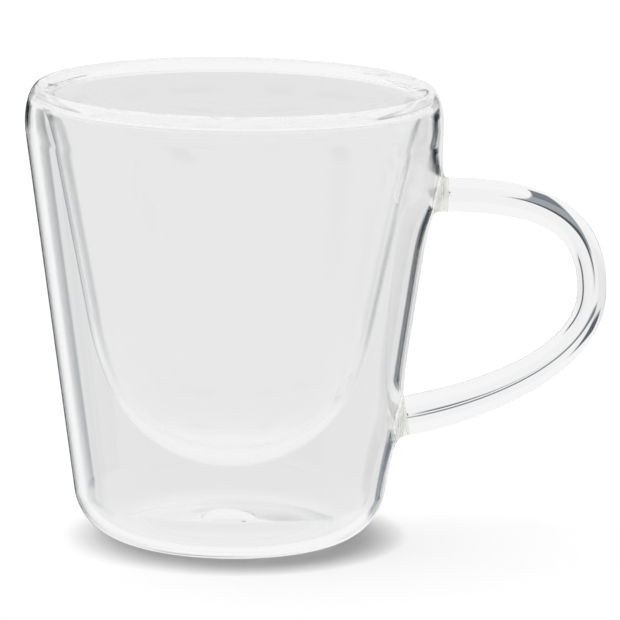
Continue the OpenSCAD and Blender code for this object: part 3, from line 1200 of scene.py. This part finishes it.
@dataclass
class Studio:
    """Light tent, floor and camera of the photograph."""

    target_z: float = 36.175
    distance_mm: float = 800.0
    elevation: float = 11.32
    roll: float = -0.76
    pan: float = -0.887
    tilt: float = 0.021
    focal_px: float = 5037.0
    frame_px: float = 620.0
    sensor_mm: float = 36.0
    sight_mm: float = 100000.0
    floor_mm: float = 6000.0
    # A slightly greyer belt goes round the white dome. A soft box above lights the floor and the welds.
    belt_level: float = 0.845
    belt_low: float = -22.0
    belt_high: float = 2.0
    belt_soft: float = 6.0
    dome_level: float = 0.94
    box_level: float = 1.75
    box_way: tuple[float, float, float] = (-0.25, 0.3, 0.92)
    box_from: float = 0.35
    box_full: float = 0.85
    # Between these counts of surfaces passed, light has come through the outer wall alone.
    rod_passes: float = 2.5
    wall_passes: float = 5.5
    # Above this count of bounces off matt surfaces, light comes from the soft box.
    matt_bounces: float = 0.5
    # Later panels lie over earlier ones, so the larger and lighter ones come first.
    panels: tuple[TentPanel, ...] = (
        TentPanel(-46.0, 46.0, -95.0, 8.0, "#EDEDED", Route.WALL, soft_end=4.0),
        TentPanel(-46.0, 46.0, -19.0, 8.0, "#E6E6E6", Route.WALL, soft_end=2.5),
        TentPanel(-12.0, -1.0, -5.0, 14.0, "#FFFFFF", Route.BASE, all_round=False),
        TentPanel(4.0, 20.0, -5.0, 14.0, "#A0A5A8", Route.BASE, all_round=False),
        TentPanel(-41.0, -21.0, -20.0, 5.0, "#F8F8F8", Route.CUP, soft_left=4.0, soft_end=4.0),
        TentPanel(-22.0, -12.2, -19.5, 0.0, "#CDD1D3", Route.WALL, soft_left=5.0),
        TentPanel(-22.0, -12.2, -15.0, 0.0, "#7C848A", Route.WALL, soft_left=5.0, soft_right=0.7,
                  soft_end=1.2),
        TentPanel(-40.0, -12.2, -11.0, 2.0, "#161D23", Route.WALL, soft_right=0.7),
        TentPanel(-30.0, -13.0, -16.0, -6.0, "#B0B5BA", Route.BOTH, soft_left=4.0),
        TentPanel(-40.0, -13.0, -13.2, -6.0, "#1C242B", Route.BOTH),
        TentPanel(20.0, 36.0, -18.0, -6.0, "#B0B5BA", Route.BOTH, soft_left=4.0),
        TentPanel(20.0, 34.0, -12.5, -6.0, "#3C464E", Route.BOTH),
        TentPanel(26.2, 38.0, -24.0, -2.0, "#7A858E", Route.EDGE, slant=0.3),
        TentPanel(26.2, 36.5, -16.5, -2.0, "#161D24", Route.EDGE, soft_left=1.0, soft_right=1.2, slant=0.3),
        TentPanel(17.0, 36.0, -4.0, 7.2, "#26313B", Route.EDGE, soft_end=1.2, all_round=False),
        TentPanel(-16.5, 0.5, -20.0, -6.0, "#2E3B46", Route.EDGE, soft_left=2.5, soft_right=1.0,
                  all_round=False),
        TentPanel(-24.0, 0.5, -10.0, 6.0, "#1A242C", Route.EDGE, soft_right=1.0, all_round=False),
        TentPanel(-12.0, 16.0, -26.0, 6.0, "#F4F4F4", Route.ROD, soft_left=4.0, soft_right=4.0),
        TentPanel(-7.2, 1.9, -52.0, -13.8, "#666E74", Route.ROD, soft_right=0.3, soft_end=0.5, slant=0.32,
                  all_round=False),
        TentPanel(-6.0, 1.9, -29.0, -13.8, "#969CA1", Route.ROD, soft_right=0.3, soft_end=0.5, slant=0.32,
                  all_round=False),
        TentPanel(-4.5, 1.5, -16.0, -11.4, "#2E3840", Route.ROD, soft_left=2.0, soft_right=0.2, soft_end=0.6,
                  all_round=False),
        TentPanel(-14.0, 1.2, -9.0, -6.5, "#6A747C", Route.ROD, soft_left=3.0, soft_end=0.7,
                  all_round=False),
        TentPanel(-34.0, -16.0, -4.0, 6.0, "#343F4B", Route.ROD, all_round=False),
        TentPanel(27.0, 33.0, -30.0, 0.0, "#45525E", Route.ROD, all_round=False),
    )
    # Past the quarter behind the cup, the panels fade to a share of their strength.
    half_quarter: float = 45.0
    echo_full: float = 49.0
    echo_share: float = 0.5
    # Painted shadow: ambient occlusion aimed this way darkens the floor's colour under the base, away from
    # the soft box.
    painted_shadow_way: tuple[float, float, float] = (-0.35, 0.35, 0.5)
    painted_shadow_mm: float = 6.5
    painted_shadow_level: float = 0.36
    painted_shadow_samples: int = 32

    def camera(self) -> bpy.types.Object:
        """Places the camera as the photograph's perspective has it.

        Returns:
            The new camera, which is the scene's.
        """
        rise = math.radians(self.elevation)
        back = Vector((0.0, -math.cos(rise), math.sin(rise)))
        ahead, right = -back, Vector((1.0, 0.0, 0.0))
        up = right.cross(ahead)
        for axis, angle in (("up", self.pan), ("right", self.tilt), ("ahead", self.roll)):
            spin = Matrix.Rotation(math.radians(angle), 3, {"up": up, "right": right, "ahead": ahead}[axis])
            ahead, right, up = spin @ ahead, spin @ right, spin @ up
        data = bpy.data.cameras.new("photo_camera")
        data.sensor_width = self.sensor_mm
        data.lens = self.focal_px / self.frame_px * self.sensor_mm
        data.clip_end = self.sight_mm * MM
        camera = put_in_scene("photo_camera", data)
        turned = Matrix((right, up, -ahead)).transposed().to_4x4()
        turned.translation = Vector((0.0, 0.0, self.target_z * MM)) + back * self.distance_mm * MM
        camera.matrix_world = turned
        bpy.context.scene.camera = camera
        return camera

    def world(self) -> None:
        """Builds the light tent: white all round, with darker panels that draw the edges of the glass."""
        world = bpy.data.worlds.new("light_tent")
        bpy.context.scene.world = world
        tree = empty_tree(world)
        way = add_node(tree, "ShaderNodeTexCoord")["Generated"]
        parts = add_node(tree, "ShaderNodeSeparateXYZ", {0: way})
        turn = add_node(tree, "ShaderNodeMath", {0: parts["X"], 1: parts["Y"]}, operation="ARCTAN2")[0]
        climb = add_node(tree, "ShaderNodeMath", {0: parts["Z"]}, operation="ARCSINE")[0]
        azimuth, rise = (add_node(tree, "ShaderNodeMath", {0: angle}, operation="DEGREES")[0]
                         for angle in (turn, climb))
        quarter = add_node(tree, "ShaderNodeMath", {0: azimuth, 1: self.half_quarter, 2: -self.half_quarter},
                           operation="WRAP")[0]
        aside = add_node(tree, "ShaderNodeMath", {0: azimuth}, operation="ABSOLUTE")[0]
        strength = add_node(tree, "ShaderNodeMapRange",
                            {"Value": aside, "From Min": self.half_quarter, "From Max": self.echo_full,
                             "To Min": 1.0, "To Max": self.echo_share})[0]
        tent = self.dome_level
        for end, level in ((self.belt_low, self.belt_level), (self.belt_high, self.dome_level)):
            tent = add_node(tree, "ShaderNodeMapRange",
                            {"Value": rise, "From Min": end - self.belt_soft,
                             "From Max": end + self.belt_soft, "To Min": tent, "To Max": level},
                            interpolation_type="SMOOTHSTEP")[0]
        path = add_node(tree, "ShaderNodeLightPath")
        seen_by = self._routes(tree, path)
        layer = PanelLayer().tree
        for panel in self.panels:
            seen = add_node(tree, "ShaderNodeMath", {0: strength, 1: seen_by[panel.route]},
                            operation="MULTIPLY")
            tent = add_node(tree, "ShaderNodeGroup",
                            {"Tent": tent, "Colour": linear(panel.colour), "Seen": seen[0],
                             "Slant": panel.slant,
                             "Azimuth": quarter if panel.all_round else azimuth, "Rise": rise,
                             "Left": panel.left, "Right": panel.right, "Low": panel.low, "High": panel.high,
                             "Soft Left": panel.soft_left, "Soft Right": panel.soft_right,
                             "Soft Low": panel.soft_end, "Soft High": panel.soft_end},
                            node_tree=layer)[0]
        towards = add_node(tree, "ShaderNodeVectorMath", {0: way, 1: Vector(self.box_way).normalized()},
                           operation="DOT_PRODUCT")["Value"]
        box = add_node(tree, "ShaderNodeMapRange",
                       {"Value": towards, "From Min": self.box_from, "From Max": self.box_full,
                        "To Max": self.box_level}, interpolation_type="SMOOTHSTEP")[0]
        on_matt = add_node(tree, "ShaderNodeMath", {0: path["Diffuse Depth"], 1: self.matt_bounces},
                            operation="GREATER_THAN")
        lit = add_node(tree, "ShaderNodeMix", {0: on_matt[0], 6: tent, 7: box}, data_type="RGBA")
        shown = add_node(tree, "ShaderNodeMix",
                         {0: path["Is Camera Ray"], 6: lit[2], 7: linear("#FFFFFF")}, data_type="RGBA")
        light = add_node(tree, "ShaderNodeBackground", {"Color": shown[2]})
        add_node(tree, "ShaderNodeOutputWorld", {"Surface": light[0]})

    def _routes(self, tree: bpy.types.NodeTree, path: Any) -> dict[Route, bpy.types.NodeSocket]:
        """Tells the light of each route by the surfaces that it passed or was turned back at.

        Args:
            tree: The world's nodes.
            path: Outputs of the light path node.

        Returns:
            Sockets that are 1 for the light of a route and 0 for other light.
        """
        passed, turned = path["Transmission Depth"], path["Glossy Depth"]
        few = add_node(tree, "ShaderNodeMath", {0: passed, 1: self.rod_passes}, operation="LESS_THAN")[0]
        many = add_node(tree, "ShaderNodeMath", {0: passed, 1: self.wall_passes},
                        operation="GREATER_THAN")[0]
        back = add_node(tree, "ShaderNodeMath", {0: turned, 1: few}, operation="MINIMUM")[0]
        ahead = add_node(tree, "ShaderNodeMath", {0: few, 1: back}, operation="SUBTRACT")[0]
        single = add_node(tree, "ShaderNodeMath", {0: 1.0, 1: few}, operation="SUBTRACT")[0]
        wall = add_node(tree, "ShaderNodeMath", {0: single, 1: many}, operation="SUBTRACT")[0]
        rod, base = (add_node(tree, "ShaderNodeMath", {0: light, 1: path["Is Singular Ray"]},
                              operation="MULTIPLY")[0] for light in (ahead, wall))
        cup = add_node(tree, "ShaderNodeMath", {0: 1.0, 1: rod}, operation="SUBTRACT")[0]
        return {Route.CUP: cup, Route.WALL: wall, Route.BASE: base, Route.BOTH: many, Route.EDGE: back,
                Route.ROD: rod}

    def floor(self) -> bpy.types.Object:
        """Lays the pale floor, which has the cup's shadow painted into its colour by ambient occlusion, and
        which light through the glass passes.

        Returns:
            The new floor.
        """
        half = self.floor_mm * MM / 2
        mesh = bpy.data.meshes.new("floor")
        corners = [(-half, -half, 0.0), (half, -half, 0.0), (half, half, 0.0), (-half, half, 0.0)]
        mesh.from_pydata(corners, [], [(0, 1, 2, 3)])
        made = bpy.data.materials.new("pale_floor")
        tree = empty_tree(made)
        path = add_node(tree, "ShaderNodeLightPath")
        seen = add_node(tree, "ShaderNodeMath", {0: path["Is Glossy Ray"], 1: path["Is Transmission Ray"]},
                        operation="MAXIMUM")
        # Painted shadow: ambient occlusion near the cup, aimed towards the soft box, darkens the floor's
        # diffuse colour.
        painted_shadow_aim = add_node(tree, "ShaderNodeCombineXYZ", dict(enumerate(Vector(self.painted_shadow_way).normalized())))
        painted_shadow_occlusion = add_node(tree, "ShaderNodeAmbientOcclusion",
                        {"Distance": self.painted_shadow_mm * MM, "Normal": painted_shadow_aim[0]}, samples=self.painted_shadow_samples)
        painted_shadow = add_node(tree, "ShaderNodeMapRange", {"Value": painted_shadow_occlusion["AO"], "To Min": self.painted_shadow_level})
        paper = add_node(tree, "ShaderNodeBsdfDiffuse", {"Color": painted_shadow[0]})
        clear = add_node(tree, "ShaderNodeBsdfTransparent")
        surface = add_node(tree, "ShaderNodeMixShader", {0: seen[0], 1: paper[0], 2: clear[0]})
        add_node(tree, "ShaderNodeOutputMaterial", {"Surface": surface[0]})
        mesh.materials.append(made)
        floor = put_in_scene("floor", mesh)
        return floor


def main() -> None:
    """Builds the glass, hands each piece to its node and sets the studio."""
    logging.basicConfig(level=logging.INFO, format="%(name)s: %(message)s")
    scene = bpy.context.scene
    scene.view_settings.view_transform = "Standard"
    for limit in ("max_bounces", "transmission_bounces", "glossy_bounces", "transparent_max_bounces"):
        setattr(scene.cycles, limit, LIGHT_BOUNCES)
    scene.cycles.blur_glossy = 0.0

    shape = CupShape()
    glass = {finish: GLASS[finish].material() for finish in Finish}
    loft = RingLoft(fused_joint())

    handle = Handle(shape)
    wall = OuterWall(shape, [WeldPull(z=57.0, amount=1.1, width=5.0, tall=3.8),
                             WeldPull(z=handle.low_z, amount=0.6, width=4.0, tall=4.5)])
    upper = Weld("upper_weld_glass", wall, handle.ring(handle.FIRST_RING), way=np.array([-1.0, 0.0]),
                 outer_side=1.0)
    lower = Weld("lower_weld_glass", wall, handle.ring(handle.LAST_RING), way=-handle.low_way,
                 outer_side=-1.0)
    wall.welds += [upper, lower]
    parts = {
        "outer_wall": (wall, Finish.WALL),
        "inner_wall": (Bowl(shape), Finish.WALL),
        "rim": (Rim(shape, wall), Finish.LIP),
        "vent_seal": (VentSeal(shape), Finish.WALL),
        "handle": (handle, Finish.ROD),
        "upper_weld": (upper, Finish.WELD),
        "lower_weld": (lower, Finish.WELD),
    }
    pieces = {node: part.build(loft, glass[finish]) for node, (part, finish) in parts.items()}
    share_normals(list(pieces.values()))
    for node, (_, finish) in parts.items():
        piece = pieces[node]
        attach(piece, BODY)
        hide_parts(node)
        LOG.info("%s: %d faces for node %s", piece.name, len(piece.data.polygons), node)

    studio = Studio()
    studio.camera()
    studio.world()
    studio.floor()


if __name__ == "__main__":
    main()
